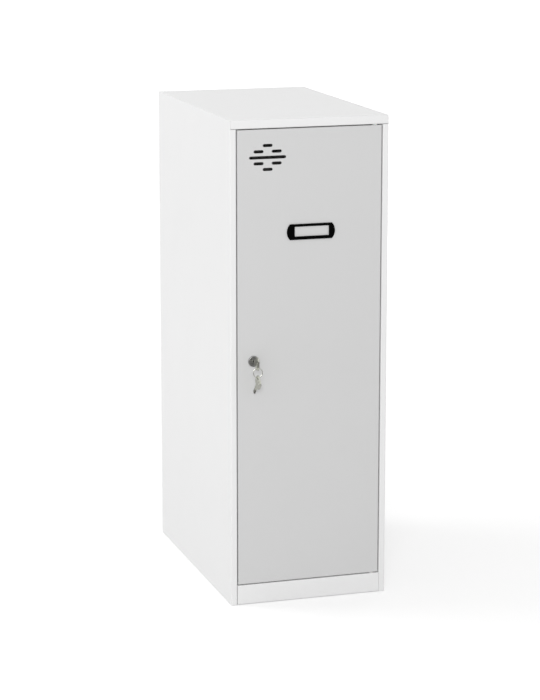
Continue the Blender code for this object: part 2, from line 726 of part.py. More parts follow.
def card_frame():
    half_height = CARD_HEIGHT / 2
    radius = (half_height**2 + CARD_END_BULGE**2) / (2 * CARD_END_BULGE)
    spread = asin(half_height / radius)
    centre_x = CARD_STRAIGHT / 2 + CARD_END_BULGE - radius
    outline = circle_points(radius, SMALL_ROUND_STEPS, (centre_x, 0), -spread, 2 * spread)
    outline += circle_points(radius, SMALL_ROUND_STEPS, (-centre_x, 0), pi - spread, 2 * spread)
    window = [
        (across + CARD_WINDOW_RIGHT, up + CARD_WINDOW_UP)
        for across, up in rectangle(CARD_WINDOW_WIDTH, CARD_WINDOW_HEIGHT)
    ]
    frame = flat_plate("card_frame", [outline, window], CARD_THICKNESS)
    x, z = card_place()
    stand(frame, (x, FRONT_Y - SEAM - CARD_THICKNESS / 2, z))
    bm = bmesh.new()
    for stud_x, stud_z in card_stud_places():
        ends = [(stud_x, FRONT_Y + reach, stud_z) for reach in (-CARD_THICKNESS / 2, CARD_STUD_REACH)]
        add_rod(bm, *ends, CARD_STUD_RADIUS)
    combine(frame, as_cutter("card_frame studs", bm), "UNION")
    return finish(frame, BLACK_PLASTIC)


def lock_place(depth=0):
    """A point on the lock's axis, at this depth behind the door's face."""
    return Vector((LOCK_X, FRONT_Y + depth, LOCK_HEIGHT))


def lock_housing():
    round_centre = ROSETTE_RADIUS - ROSETTE_ROUND, ROSETTE_PROUD - ROSETTE_ROUND
    shoulder = circle_points(ROSETTE_ROUND, BEND_STEPS, round_centre, pi / 2, -pi / 2)
    profile = [
        (BORE_RADIUS, ROSETTE_PROUD),
        *shoulder,
        (ROSETTE_RADIUS, SEAM),
        (BARREL_RADIUS, SEAM),
        (BARREL_RADIUS, SEAM - PLUG_END),
        (BORE_RADIUS, SEAM - PLUG_END),
    ]
    housing = turned("lock_housing", profile, True)
    return finish(stand(housing, lock_place()), DARK_NICKEL)


def lock_nut():
    hexagon = circle_points(NUT_RADIUS, HEXAGON)
    bore = circle_points(BARREL_RADIUS + SEAM, ROUND_STEPS)
    nut = flat_plate("lock_nut", [hexagon, bore], NUT_THICKNESS)
    return finish(stand(nut, lock_place(SHEET + SEAM + NUT_THICKNESS / 2)), ZINC)


def lock_plug():
    """The turning barrel, with the keyway in front and a square drive behind."""
    bm = bmesh.new()
    add_rod(bm, lock_place(-ROSETTE_PROUD), lock_place(PLUG_END), PLUG_RADIUS, ROUND_STEPS)
    plug = mesh_object("lock_plug", bm)
    half = Vector((DRIVE_SIZE / 2, 0, DRIVE_SIZE / 2))
    bm = bmesh.new()
    add_block(bm, lock_place(PLUG_END - CUT_OVERRUN) - half, lock_place(DRIVE_END) + half)
    combine(plug, as_cutter("lock_plug drive", bm), "UNION")
    half_slot = Vector((KEY_THICKNESS / 2 + SEAM, 0, KEY_BLADE_HEIGHT / 2 + SEAM))
    slot_start = lock_place(-ROSETTE_PROUD - CUT_OVERRUN)
    slot_end = lock_place(KEY_BLADE_LENGTH - ROSETTE_PROUD + SEAM)
    cut_block(plug, slot_start - half_slot, slot_end + half_slot)
    hole_start = lock_place(DRIVE_END - BOLT_GRIP - SEAM)
    cut_hole(plug, hole_start, lock_place(DRIVE_END + CUT_OVERRUN), BOLT_RADIUS + SEAM)
    return finish(plug, NICKEL)


def lock_cam():
    """A flat cam on the square drive. It points down when the lock is open."""
    half_width = CAM_WIDTH / 2
    shoulder = asin(half_width / CAM_HUB_RADIUS)
    hub_sweep = 2 * pi - 2 * shoulder
    outline = circle_points(CAM_HUB_RADIUS, ROUND_STEPS, start=shoulder - pi / 2, sweep=hub_sweep)
    outline += circle_points(half_width, SMALL_ROUND_STEPS, (0, half_width - CAM_REACH), pi, pi)
    hole_size = DRIVE_SIZE + 2 * SEAM
    cam = flat_plate("lock_cam", [outline, rectangle(hole_size, hole_size)], CAM_THICKNESS)
    return finish(stand(cam, lock_place(PLUG_END + SEAM + CAM_THICKNESS / 2)), ZINC)


def lock_washer():
    outline = circle_points(WASHER_RADIUS, ROUND_STEPS)
    hole = circle_points(BOLT_RADIUS + SEAM, SMALL_ROUND_STEPS)
    washer = flat_plate("lock_washer", [outline, hole], WASHER_THICKNESS)
    return finish(stand(washer, lock_place(WASHER_START + WASHER_THICKNESS / 2)), ZINC)


def cam_bolt():
    head_end = BOLT_HEAD_START + BOLT_HEAD_HEIGHT
    bm = bmesh.new()
    add_rod(bm, lock_place(BOLT_HEAD_START), lock_place(head_end), BOLT_HEAD_RADIUS, HEXAGON)
    bolt = mesh_object("cam_bolt", bm)
    bm = bmesh.new()
    tip = lock_place(DRIVE_END - BOLT_GRIP)
    add_rod(bm, tip, lock_place(head_end - BOLT_HEAD_HEIGHT / 2), BOLT_RADIUS)
    combine(bolt, as_cutter("cam_bolt shank", bm), "UNION")
    return finish(bolt, ZINC)


def key_plate(name):
    """A flat key. Local x runs from its bow to its tip, and x = 0 is level with the door's face."""
    bow_side = KEY_BOW_LENGTH - KEY_REACH
    neck = KEY_NECK_HEIGHT / 2
    blade = KEY_BLADE_HEIGHT / 2
    shoulder = -ROSETTE_PROUD - SEAM
    tip = KEY_BLADE_LENGTH - ROSETTE_PROUD
    outline = []
    for quarter, (x, y) in enumerate(((1, 1), (-1, 1), (-1, -1), (1, -1))):
        centre = BOW_CENTRE.x + x * BOW_CORNER[0], y * BOW_CORNER[1]
        outline += circle_points(KEY_BOW_ROUND, CORNER_STEPS, centre, quarter * pi / 2, pi / 2)
    outline += [(bow_side, -neck), (shoulder, -neck), (shoulder, -blade)]
    cut_pitch = (tip - KEY_POINT - shoulder) / len(KEY_CUT_SHARES)
    for place, share in enumerate(KEY_CUT_SHARES):
        middle = shoulder + (place + 1 / 2) * cut_pitch
        outline.append((middle - KEY_CUT_RUN_SHARE * cut_pitch, -blade))
        outline.append((middle, share * KEY_BLADE_HEIGHT - blade))
    outline += [(tip - KEY_POINT, -blade), (tip, 0), (tip - KEY_POINT, blade)]
    outline += [(shoulder, blade), (shoulder, neck), (bow_side, neck)]
    slot = []
    for side in (1, -1):
        centre = -KEY_SLOT_REACH, side * SLOT_ROUND_PLACE
        slot += circle_points(KEY_SLOT_WIDTH / 2, CORNER_STEPS, centre, pi / 2 - side * pi / 2, pi)
    return finish(flat_plate(name, [outline, slot], KEY_THICKNESS), NICKEL)


def key():
    return stand(key_plate("key"), lock_place(), "YZ")


def key_ring():
    """It hangs in the lower end of the slot in the key's bow, square to the bow."""
    section = circle_points(RING_WIRE_RADIUS, WIRE_STEPS, (RING_RADIUS, 0))
    ring = turned("key_ring", section[::-1], True)
    return finish(stand(ring, RING_TOP + RING_DROP), NICKEL)


def spare_key():
    """It hangs on the ring by the door's end of its slot, so its tip leans to the door."""
    spare = key_plate("spare_key")
    turn = SPARE_KEY_TURN.to_4x4()
    spare.matrix_world = Matrix.Translation(RING_BOTTOM) @ turn @ Matrix.Translation(-SPARE_KEY_HELD)
    return spare


def pivot(name, place, pieces, parent=None):
    """An empty on a joint's axis, which carries the pieces of the body that moves there."""
    print(f"{name} at {place.to_tuple(5)}")
    empty = bpy.data.objects.new(name, None)
    PARTS.objects.link(empty)
    empty.location = place
    for child, holder in [(empty, parent)] + [(piece, empty) for piece in pieces]:
        if holder:
            bpy.context.view_layer.update()
            child.parent = holder
            child.matrix_parent_inverse = holder.matrix_world.inverted()
    return empty


def build():
    left_side_panel()
    side_panel("side_panel_right", 1)
    top_panel()
    floor_panel()
    back_panel()
    kick_plate()
    hinge_bush("hinge_bush_top", RAIL_BOTTOM, True)
    hinge_bush("hinge_bush_bottom", KICK_HEIGHT, False)
    hat_shelf()
    hanging_rail()
    for word, side in (("left", -1), ("right", 1)):
        shelf_support(f"shelf_support_{word}", side)
        rail_cradle(f"rail_cradle_{word}", side)
    for name, place in bumper_places().items():
        door_bumper(f"door_bumper_{name}", place)

    door_pieces = [door_panel(), door_stiffener(), card_frame(), lock_housing(), lock_nut()]
    for word, level, up in (("top", DOOR_TOP, True), ("bottom", DOOR_BOTTOM, False)):
        door_pieces.append(pivot_bracket(f"pivot_bracket_{word}", level, up))
        door_pieces.append(hinge_pin(f"hinge_pin_{word}", level, up))

    turning_pieces = [lock_plug(), lock_cam(), lock_washer(), cam_bolt()]
    door_axis = pivot("door_hinge", Vector((HINGE_X, HINGE_Y, DOOR_MIDDLE)), door_pieces)
    lock_axis = pivot("lock_turn", lock_place(), turning_pieces, door_axis)
    key_axis = pivot("key_slide", lock_place(), [key()], lock_axis)
    ring_axis = pivot("ring_swing", RING_TOP, [key_ring()], key_axis)
    pivot("spare_key_swing", RING_BOTTOM, [spare_key()], ring_axis)


build()
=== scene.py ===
# %% [markdown]
# # A steel clothes locker, dressed for its picture
#
# The locker is one tall box of folded sheet steel with one door. Its CAD model already has every
# panel, the lock and the two keys at their real size. This lesson gives them their finish: powder
# paint on the sheets, zinc and nickel on the metal, black plastic on the card frame. It also puts
# a finer copy in the place of every CAD part, with broken edges and rounder rounds, and models a
# few parts again where the eye comes close.

# %% Load the locker
import json
from math import pi, radians, sqrt

import bmesh
import bpy
from mathutils import Euler, Matrix, Vector


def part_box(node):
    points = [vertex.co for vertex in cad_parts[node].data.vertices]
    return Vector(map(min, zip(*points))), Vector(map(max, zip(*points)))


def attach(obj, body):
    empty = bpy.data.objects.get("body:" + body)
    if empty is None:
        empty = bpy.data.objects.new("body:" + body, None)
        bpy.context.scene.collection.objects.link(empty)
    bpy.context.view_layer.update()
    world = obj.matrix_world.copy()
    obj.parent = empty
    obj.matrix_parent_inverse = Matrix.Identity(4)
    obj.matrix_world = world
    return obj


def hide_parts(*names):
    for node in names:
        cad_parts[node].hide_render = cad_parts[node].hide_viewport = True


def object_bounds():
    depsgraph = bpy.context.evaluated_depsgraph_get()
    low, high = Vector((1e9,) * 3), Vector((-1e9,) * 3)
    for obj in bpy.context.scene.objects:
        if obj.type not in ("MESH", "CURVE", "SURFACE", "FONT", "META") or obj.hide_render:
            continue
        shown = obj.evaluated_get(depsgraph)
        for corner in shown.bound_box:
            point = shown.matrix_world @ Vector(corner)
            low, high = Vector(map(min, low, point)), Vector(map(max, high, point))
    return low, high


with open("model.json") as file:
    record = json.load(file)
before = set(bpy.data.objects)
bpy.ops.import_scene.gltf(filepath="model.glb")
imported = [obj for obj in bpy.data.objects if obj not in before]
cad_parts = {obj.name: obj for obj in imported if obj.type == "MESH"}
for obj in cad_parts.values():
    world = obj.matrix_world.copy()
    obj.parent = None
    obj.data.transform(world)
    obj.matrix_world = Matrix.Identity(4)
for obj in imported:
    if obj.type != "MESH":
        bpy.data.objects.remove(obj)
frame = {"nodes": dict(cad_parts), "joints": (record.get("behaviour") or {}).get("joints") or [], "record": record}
cad_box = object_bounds()
nodes = frame["nodes"]
joints = {joint["name"]: joint for joint in frame["joints"]}
print(len(nodes), "CAD nodes,", [round(high - low, 4) for low, high in zip(*cad_box)], "m")

# %% [markdown]
# ## The camera
#
# The photograph is taken from the front left and from a little above, with a long lens from about
# four metres away, so the box shows little perspective. The place, the two angles and the lens
# come from a fit of the carcass's corners to the photograph. The place is counted from the door's
# face.

# %% Set up the camera
DOOR_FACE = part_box("door_panel")[0].y
CAMERA_PLACE = Vector((-1.3537, DOOR_FACE - 4.109, 1.4225))
CAMERA_TILT = radians(12.36)
CAMERA_TURN = radians(17.28)
CAMERA_LENS_MM = 124.67
CAMERA_SENSOR_MM = 36

camera = bpy.data.objects.new("camera", bpy.data.cameras.new("camera"))
camera.data.lens = CAMERA_LENS_MM
camera.data.sensor_width = CAMERA_SENSOR_MM
camera.location = CAMERA_PLACE
camera.rotation_euler = (pi / 2 - CAMERA_TILT, 0, -CAMERA_TURN)
bpy.context.collection.objects.link(camera)
bpy.context.scene.camera = camera
print("camera", round(CAMERA_PLACE.length, 2), "m from the locker's foot")

# %% [markdown]
# ## Writing shaders as sums
#
# A procedural material is mostly arithmetic on noise. Adding each Math node by hand hides the
# sum, so a small class wraps a socket and lets Python's own signs add the nodes. Every other kind
# of node comes from one method, which sets the node's settings first and then its values and
# links.

# %% A socket that can be added and multiplied
class Signal:
    """An output socket. A sum with it adds the Math nodes that work it out."""

    def __init__(self, recipe, socket):
        self.recipe = recipe
        self.socket = socket

    def maths(self, operation, left, right):
        return self.recipe.node("ShaderNodeMath", {"operation": operation}, {0: left, 1: right})

    def __add__(self, other):
        return self.maths("ADD", self, other)

    def __sub__(self, other):
        return self.maths("SUBTRACT", self, other)

    def __rsub__(self, other):
        return self.maths("SUBTRACT", other, self)

    def __mul__(self, other):
        return self.maths("MULTIPLY", self, other)

    __radd__ = __add__
    __rmul__ = __mul__


class Recipe:
    """A node tree that is written line by line."""

    def __init__(self, tree):
        self.tree = tree

    def feed(self, socket, value):
        if isinstance(value, Signal):
            self.tree.links.new(value.socket, socket)
        else:
            socket.default_value = value

    def node(self, kind, settings=None, inputs=None, output=0):
        node = self.tree.nodes.new(kind)
        for setting, value in (settings or {}).items():
            setattr(node, setting, value)
        for key, value in (inputs or {}).items():
            self.feed(node.inputs[key], value)
        return Signal(self, node.outputs[output])


print("sums ready")

# %% [markdown]
# ## Noise at a real size
#
# Noise that is scaled by eye looks like any other noise. Here each pattern is given the size of
# its lumps in metres, read on the piece's own Object coordinates, so it keeps its grain in every
# view. Bump heights are in metres as well: the Bump node's distance stays at one.

# %% Helpers for a material
MIX_FACTOR, MIX_FIRST, MIX_SECOND, MIX_COLOUR = 0, 6, 7, 2


class Finish(Recipe):
    """One material: a Principled shader, and the patterns that vary it."""

    def __init__(self, name, colour, roughness, metallic=0.0, gloss=0.5):
        self.material = bpy.data.materials.new(name)
        self.material.use_nodes = True
        super().__init__(self.material.node_tree)
        self.shader = self.tree.nodes["Principled BSDF"]
        self.colour = colour
        self.set("Base Color", (*colour, 1))
        self.set("Roughness", roughness)
        self.set("Metallic", metallic)
        self.set("Specular IOR Level", gloss)
        self.place = self.node("ShaderNodeTexCoord", output="Object")

    def set(self, socket, value):
        self.feed(self.shader.inputs[socket], value)

    def noise(self, size, detail=2.0, place=None):
        """Noise from 0 to 1 with lumps of this size, in metres."""
        inputs = {"Vector": place or self.place, "Scale": 1 / size, "Detail": detail}
        return self.node("ShaderNodeTexNoise", inputs=inputs)

    def mix(self, amount, first, second):
        """Colours the shader from the first to the second colour, as the amount goes to 1."""
        inputs = {MIX_FACTOR: amount, MIX_FIRST: first, MIX_SECOND: second}
        mixed = self.node("ShaderNodeMix", {"data_type": "RGBA"}, inputs, MIX_COLOUR)
        self.set("Base Color", mixed)
        return mixed

    def shade(self, amount, drift):
        """Lets the finish's own colour fall and rise by this share."""
        dark = [channel * (1 - drift) for channel in self.colour]
        light = [min(1, channel * (1 + drift)) for channel in self.colour]
        return self.mix(amount, (*dark, 1), (*light, 1))

    def raise_surface(self, height):
        """Bumps the surface by a height in metres."""
        inputs = {"Strength": 1.0, "Distance": 1.0, "Height": height}
        self.set("Normal", self.node("ShaderNodeBump", inputs=inputs))


finishes = {}
print("finishes can be mixed")

# %% [markdown]
# ## Powder paint
#
# The sheets are sprayed with dry powder that melts in an oven. It flows into a skin with a fine
# orange peel of about two millimetres and a satin gloss. Wide thin sheets are also never quite
# flat, so a slow wave of a fraction of a millimetre bends what they reflect. A flat colour would
# look like card. The patterns still only show when the light slides along the sheet.

# %% Mix the white and the grey paint
PEEL_SIZE = 0.0020
PEEL_HEIGHT = 0.000012
SHEET_WAVE_SIZE = 0.22
SHEET_WAVE_HEIGHT = 0.00025
TONE_CLOUD_SIZE = 0.09
TONE_DRIFT = 0.010
GLOSS_CLOUD_SIZE = 0.03
GLOSS_SWING = 0.08


def powder_paint(name, colour, roughness):
    paint = Finish(name, colour, roughness)
    peel = paint.noise(PEEL_SIZE, detail=1.0)
    wave = paint.noise(SHEET_WAVE_SIZE, detail=0.0)
    gloss_cloud = paint.noise(GLOSS_CLOUD_SIZE)
    paint.set("Roughness", roughness - GLOSS_SWING / 2 + GLOSS_SWING * gloss_cloud)
    paint.shade(paint.noise(TONE_CLOUD_SIZE), TONE_DRIFT)
    paint.raise_surface(peel * PEEL_HEIGHT + wave * SHEET_WAVE_HEIGHT)
    finishes[name] = paint.material


powder_paint("body_white", (0.84, 0.84, 0.84), 0.36)
powder_paint("door_grey", (0.642, 0.642, 0.642), 0.42)
print("paints:", sorted(finishes))

# %% [markdown]
# ## Plated metal
#
# The rail, the brackets and the lock's hardware are zinc plated: a soft grey with small crystal
# patches. The keys are nickel plated and handled often, so they are a little warm, smudged and
# finely scratched. Their blades are painted darker: a painted shade that stands in for the dark
# reflections along them. A Voronoi cell gives the crystals, a wide noise the smudges, and a
# squeezed noise the scratches. Where the blade's painted shade lies is written on the mesh of a
# key, as an attribute that this material reads.

# %% Mix the zinc and the nickel
CRYSTAL_SIZE = 0.005
SMUDGE_SIZE = 0.007
SCRATCH_WIDTH = 0.0004
SCRATCH_SQUEEZE = (1, 0.06, 1)
SCRATCH_DEPTH = 0.000003
PATCH_ROUGHNESS = 0.06
SCRATCH_ROUGHNESS = 0.08
POLISH = 0.05
# The blade's colour is a painted shade, not a colour of the metal: it darkens the blade as dark reflections would.
BLADE_SHADE_COLOUR = (0.22, 0.22, 0.195)


def plated(name, colour, roughness, drift, crystal_size=None):
    """A plated metal, and its colour with the patches in it."""
    metal = Finish(name, colour, roughness, metallic=1.0)
    if crystal_size:
        inputs = {"Vector": metal.place, "Scale": 1 / crystal_size}
        crystals = metal.node("ShaderNodeTexVoronoi", inputs=inputs, output="Color")
        patch = metal.node("ShaderNodeSeparateColor", inputs={"Color": crystals})
    else:
        patch = metal.noise(SMUDGE_SIZE)
    inputs = {"Vector": metal.place, "Scale": SCRATCH_SQUEEZE}
    scratches = metal.noise(SCRATCH_WIDTH, place=metal.node("ShaderNodeMapping", inputs=inputs))
    wear = PATCH_ROUGHNESS * patch + SCRATCH_ROUGHNESS * scratches
    metal.set("Roughness", roughness - POLISH + wear)
    metal.raise_surface(scratches * SCRATCH_DEPTH)
    finishes[name] = metal.material
    return metal, metal.shade(patch, drift)


plated("zinc_steel", (0.60, 0.61, 0.62), 0.34, 0.07, CRYSTAL_SIZE)
nickel, plating = plated("key_nickel", (0.57, 0.575, 0.51), 0.20, 0.06)
# The blade's painted shade is mixed over the plating wherever a key's attribute marks it.
blade_shade = nickel.node("ShaderNodeAttribute", {"attribute_name": "blade_shade"}, output="Fac")
nickel.mix(blade_shade, plating, (*BLADE_SHADE_COLOUR, 1))
print("metals:", sorted(finishes))

# %% [markdown]
# ## The lock's turned face
#
# The round face of the lock is a dark satin plate, turned on a lathe, which leaves fine rings
# round its middle. The tool's ridges are dull and the grooves between them shine. A Wave texture
# has a ring mode. Its rings run round the coordinates' own origin, so a Mapping node moves that
# to the lock's axis.

# %% Mix the turned plate of the lock
lock_axis = Vector(joints["lock_turn"]["pos_m"])
TURNING_PITCH = 0.00035
TURNING_HEIGHT = 0.000004
TURNING_WOBBLE = 0.6
RIDGE_ROUGHNESS = 0.38
GROOVE_SHINE = 0.14
TARNISH_SIZE = 0.003
TARNISH_DRIFT = 0.10

lock_plate = Finish("lock_metal", (0.30, 0.30, 0.295), 0.30, metallic=1.0)
centred = lock_plate.node(
    "ShaderNodeMapping", inputs={"Vector": lock_plate.place, "Location": -lock_axis}
)
turning = lock_plate.node(
    "ShaderNodeTexWave",
    {"wave_type": "RINGS", "rings_direction": "Y"},
    {"Vector": centred, "Scale": 1 / (pi * TURNING_PITCH), "Distortion": TURNING_WOBBLE},
    output="Fac",
)
lock_plate.shade(lock_plate.noise(TARNISH_SIZE), TARNISH_DRIFT)
lock_plate.set("Roughness", RIDGE_ROUGHNESS - GROOVE_SHINE * (1 - turning))
lock_plate.raise_surface(turning * TURNING_HEIGHT)
finishes["lock_metal"] = lock_plate.material
print("rings on the lock every", TURNING_PITCH * 1000, "mm")

# %% [markdown]
# ## Plastic, rubber and nylon
#
# The card frame is moulded in black plastic with a fine eroded texture, which scatters what light
# it throws back, so it looks black from the front. The bumpers are soft rubber with a bloom of
# grey. The hinge bushes are nylon, slightly milky, so a little light goes under their skin. All
# three are a grain on the surface and a cloud in the colour, so one function mixes them.

# %% Mix the plastic, rubber and nylon
BLOOM_SIZE = 0.012
GRAIN_ROUGHNESS = 0.12
NYLON_MILKINESS = 0.15
NYLON_DEPTH = 0.002


def moulded(name, colour, roughness, gloss, grain_size, grain_height, drift):
    plastic = Finish(name, colour, roughness, gloss=gloss)
    grain = plastic.noise(grain_size)
    plastic.shade(plastic.noise(BLOOM_SIZE), drift)
    plastic.set("Roughness", roughness - GRAIN_ROUGHNESS / 2 + GRAIN_ROUGHNESS * grain)
    plastic.raise_surface(grain * grain_height)
    finishes[name] = plastic.material
    return plastic


moulded(
    "black_plastic", (0.0012, 0.0012, 0.0012), roughness=0.60, gloss=0.02,
    grain_size=0.0005, grain_height=0.000012, drift=0.25,
)
moulded(
    "rubber", (0.050, 0.050, 0.052), roughness=0.75, gloss=0.30,
    grain_size=0.0012, grain_height=0.000030, drift=0.20,
)
nylon = moulded(
    "nylon", (0.78, 0.78, 0.75), roughness=0.45, gloss=0.50,
    grain_size=0.0030, grain_height=0.000008, drift=0.03,
)
nylon.set("Subsurface Weight", NYLON_MILKINESS)
nylon.set("Subsurface Scale", NYLON_DEPTH)
print("all finishes:", sorted(finishes))

# %% [markdown]
# ## Painting the CAD parts
#
# The record says which slot each CAD node takes its finish from. The nodes stay as they are, and
# only their material slots change.

# %% Give each CAD node its finish
slot_of = {part["node"]: part["material_slot"] for part in frame["record"]["subparts"]}
for name, slot in slot_of.items():
    for material_slot in nodes[name].material_slots:
        material_slot.material = finishes[slot]
print(len(slot_of), "nodes painted")

# %% [markdown]
# ## Adding a piece
#
# A new piece is built in a bmesh, becomes an object at the origin, gets its finish, and is told
# which body carries it. One helper does all of it. Faces that meet at a small angle are shaded as
# one round surface, and the real corners stay crisp. A wide flat face next to a narrow round
# would be shaded as if it bulged, so each corner's normal is weighed by the size of the faces
# that share it.

# %% The helper that adds a piece
bodies = frame["record"]["behaviour"]["bodies"]
body_of = {name: body for body, names in bodies.items() for name in names}
SMOOTH_UP_TO = radians(32)


def corner_normals(bm):
    """A normal for each corner: of the faces that are smooth there, weighed by their size."""
    bm.normal_update()
    weights = {face: face.normal * face.calc_area() for face in bm.faces}
    normals = []
    for face in bm.faces:
        for vert in face.verts:
            smooth = [
                near for near in vert.link_faces
                if near.normal.angle(face.normal, 0) < SMOOTH_UP_TO
            ]
            normals.append(sum((weights[near] for near in smooth), Vector()).normalized())
    return normals


def add_piece(name, bm, node):
    """Makes the bmesh an object that stands for this CAD node, on the same body and finish."""
    bmesh.ops.recalc_face_normals(bm, faces=bm.faces)
    open_edges = sum(not edge.is_manifold for edge in bm.edges)
    normals = corner_normals(bm)
    mesh = bpy.data.meshes.new(name)
    bm.to_mesh(mesh)
    bm.free()
    mesh.shade_smooth()
    mesh.set_sharp_from_angle(angle=SMOOTH_UP_TO)
    mesh.normals_split_custom_set(normals)
    mesh.materials.append(finishes[slot_of[node]])
    piece = bpy.data.objects.new(name, mesh)
    bpy.context.collection.objects.link(piece)
    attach(piece, body_of[node])
    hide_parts(node)
    print(name, len(mesh.polygons), "faces,", open_edges, "open edges,", end=" ")
    cad_low, cad_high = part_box(node)
    along = [[corner[axis] for corner in piece.bound_box] for axis in range(3)]
    sizes = [max(values) - min(values) for values in along]
    short = [high - low - size for low, high, size in zip(cad_low, cad_high, sizes)]
    print("smaller than the CAD by", [round(length * 1000, 2) for length in short], "mm")


# %% [markdown]
# ## Broken edges on the small parts
#
# A real part never has a perfectly sharp edge: it is tumbled, stamped or moulded, and its edges
# catch a thin line of light. The small CAD parts are copied, their flat triangles are joined into
# whole faces, and every sharp edge is bevelled by a tenth of a millimetre or more. The copy also
# lets their rounds be shaded smooth, which the CAD's own facets don't allow.

# %% Break the edges of the small hard parts
EDGE_BREAKS = {
    "lock_nut": 0.00035,
    "lock_cam": 0.00020,
    "lock_washer": 0.00012,
    "cam_bolt": 0.00030,
    "lock_plug": 0.00012,
    "hanging_rail": 0.00020,
    "rail_cradle_left": 0.00040,
    "rail_cradle_right": 0.00040,
    "pivot_bracket_top": 0.00025,
    "pivot_bracket_bottom": 0.00025,
    "hinge_pin_top": 0.00015,
    "hinge_pin_bottom": 0.00015,
    "hinge_bush_top": 0.00020,
    "hinge_bush_bottom": 0.00020,
    "door_bumper_low": 0.00025,
    "door_bumper_middle": 0.00025,
    "door_bumper_high": 0.00025,
}
TOUCHING = 0.0000005
FLAT_WITHIN = radians(0.5)
SHARP_FROM = radians(50)
BREAK_STEPS = 2


def merged_copy(node):
    """A node's mesh as a bmesh, with its triangles joined where they are flat."""
    bm = bmesh.new()
    bm.from_mesh(nodes[node].data)
    bmesh.ops.remove_doubles(bm, verts=bm.verts, dist=TOUCHING)
    bmesh.ops.dissolve_limit(bm, angle_limit=FLAT_WITHIN, verts=bm.verts, edges=bm.edges)
    return bm


def round_over(bm, edges, width, steps, clamp=True):
    bmesh.ops.bevel(
        bm, geom=edges, offset=width, offset_type="OFFSET", segments=steps, profile=0.5,
        affect="EDGES", clamp_overlap=clamp, material=-1,
    )


def break_edges(bm, width, longer_than=0):
    """Bevels each sharp edge that is longer than this."""
    sharp = [
        edge for edge in bm.edges
        if edge.is_manifold
        and edge.calc_face_angle() > SHARP_FROM
        and edge.calc_length() > longer_than
    ]
    round_over(bm, sharp, width, BREAK_STEPS)


for node, width in EDGE_BREAKS.items():
    bm = merged_copy(node)
    break_edges(bm, width)
    add_piece(f"{node}_finished", bm, node)

# %% [markdown]
# ## Folds and cut edges of the sheets
#
# A folded sheet has a round bend, and a cut edge that the paint draws back from and softens. The
# CAD has the bends in flat steps. The same merged copy lets them be shaded round, and the long
# cut edges are broken by a fifth of a millimetre. Where a panel's rims hold many short edges,
# only its longer ones are broken, because a bevel shrinks everywhere to what the shortest edge
# leaves room for.

# %% Finish the sheets
SHEET_EDGE = 0.0002
SHORT_EDGE = 0.002
PANELS = (
    "side_panel_left", "side_panel_right", "top_panel", "back_panel", "floor_panel",
    "hat_shelf", "door_panel",
)
STRIPS = ("kick_plate", "door_stiffener", "shelf_support_left", "shelf_support_right")
for node in PANELS + STRIPS:
    bm = merged_copy(node)
    break_edges(bm, SHEET_EDGE, longer_than=SHORT_EDGE if node in PANELS else 0)
    add_piece(f"{node}_finished", bm, node)

# %% [markdown]
# ## The card frame
#
# A name card slides behind this little moulding. It is a flat bar with a window in it and two
# bulged ends. A grid of three by three cells is the quickest start: its lines are moved to the
# window's edges, and the middle cell is the window.

# %% Lay out the card frame as a grid
card_low, card_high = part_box("card_frame")
CARD_WINDOW_WIDTH = 0.065
CARD_WINDOW_HEIGHT = 0.0178
CARD_WINDOW_RIGHT = 0.0016
CARD_WINDOW_UP = 0.0006
CARD_END_BULGE = 0.0058
GRID_CELLS = 3

half_length = (card_high.x - card_low.x) / 2
half_height = (card_high.z - card_low.z) / 2
half_straight = half_length - CARD_END_BULGE
window_sides = [CARD_WINDOW_RIGHT + side * CARD_WINDOW_WIDTH / 2 for side in (-1, 1)]
window_levels = [CARD_WINDOW_UP + side * CARD_WINDOW_HEIGHT / 2 for side in (-1, 1)]
columns = (-half_straight, *window_sides, half_straight)
rows = (-half_height, *window_levels, half_height)

card = bmesh.new()
half_grid = GRID_CELLS / 2
bmesh.ops.create_grid(card, x_segments=GRID_CELLS, y_segments=GRID_CELLS, size=half_grid)
for vert in card.verts:
    vert.co.x = columns[round(vert.co.x + half_grid)]
    vert.co.y = rows[round(vert.co.y + half_grid)]
window = min(card.faces, key=lambda face: face.calc_center_median().length)
bmesh.ops.delete(card, geom=[window], context="FACES")
print("card frame", len(card.faces), "cells round its window")

# %% [markdown]
# ## From a grid to a moulding
#
# The frame's ends bulge by a flat arc. Their edges are cut finely and pushed out to it, which is
# simpler than joining a separate round end. Then the grid is extruded to the frame's thickness,
# and the front edges are rounded over, as a mould leaves them.

# %% Bulge the ends and give the frame its thickness
END_CUTS = 6
CARD_THICKNESS = 0.002
CARD_EDGE_ROUND = 0.0006
CARD_ROUND_STEPS = 4


def at_an_end(vert):
    return abs(vert.co.x) > half_straight - TOUCHING


def verts_in(geom):
    return [item for item in geom if isinstance(item, bmesh.types.BMVert)]


end_edges = [
    edge for edge in card.edges
    if edge.is_boundary and all(at_an_end(vert) for vert in edge.verts)
]
bmesh.ops.subdivide_edges(card, edges=end_edges, cuts=END_CUTS)
arc_radius = (half_height**2 + CARD_END_BULGE**2) / (2 * CARD_END_BULGE)
for vert in card.verts:
    if at_an_end(vert):
        arc = half_length - arc_radius + sqrt(arc_radius**2 - vert.co.y**2)
        vert.co.x = arc if vert.co.x > 0 else -arc

raised = bmesh.ops.extrude_face_region(card, geom=card.faces[:])["geom"]
bmesh.ops.translate(card, verts=verts_in(raised), vec=(0, 0, CARD_THICKNESS))
bmesh.ops.recalc_face_normals(card, faces=card.faces)
rim = [
    edge for edge in card.edges
    if edge.calc_face_angle() > SHARP_FROM
    and all(vert.co.z > CARD_THICKNESS / 2 for vert in edge.verts)
]
round_over(card, rim, CARD_EDGE_ROUND, CARD_ROUND_STEPS)
print("card frame", len(card.faces), "faces with its rounded rim")

# %% [markdown]
# ## The frame's studs
#
# Two studs behind the frame snap into holes in the door. They are plain cylinders in the same
# mesh, since the moulding is one piece. The frame is drawn lying down, which keeps its numbers
# simple, and is stood up on the door at the end.

# %% Stand the card frame on the door
CARD_STUD_RADIUS = 0.0015
CARD_STUD_STEPS = 24

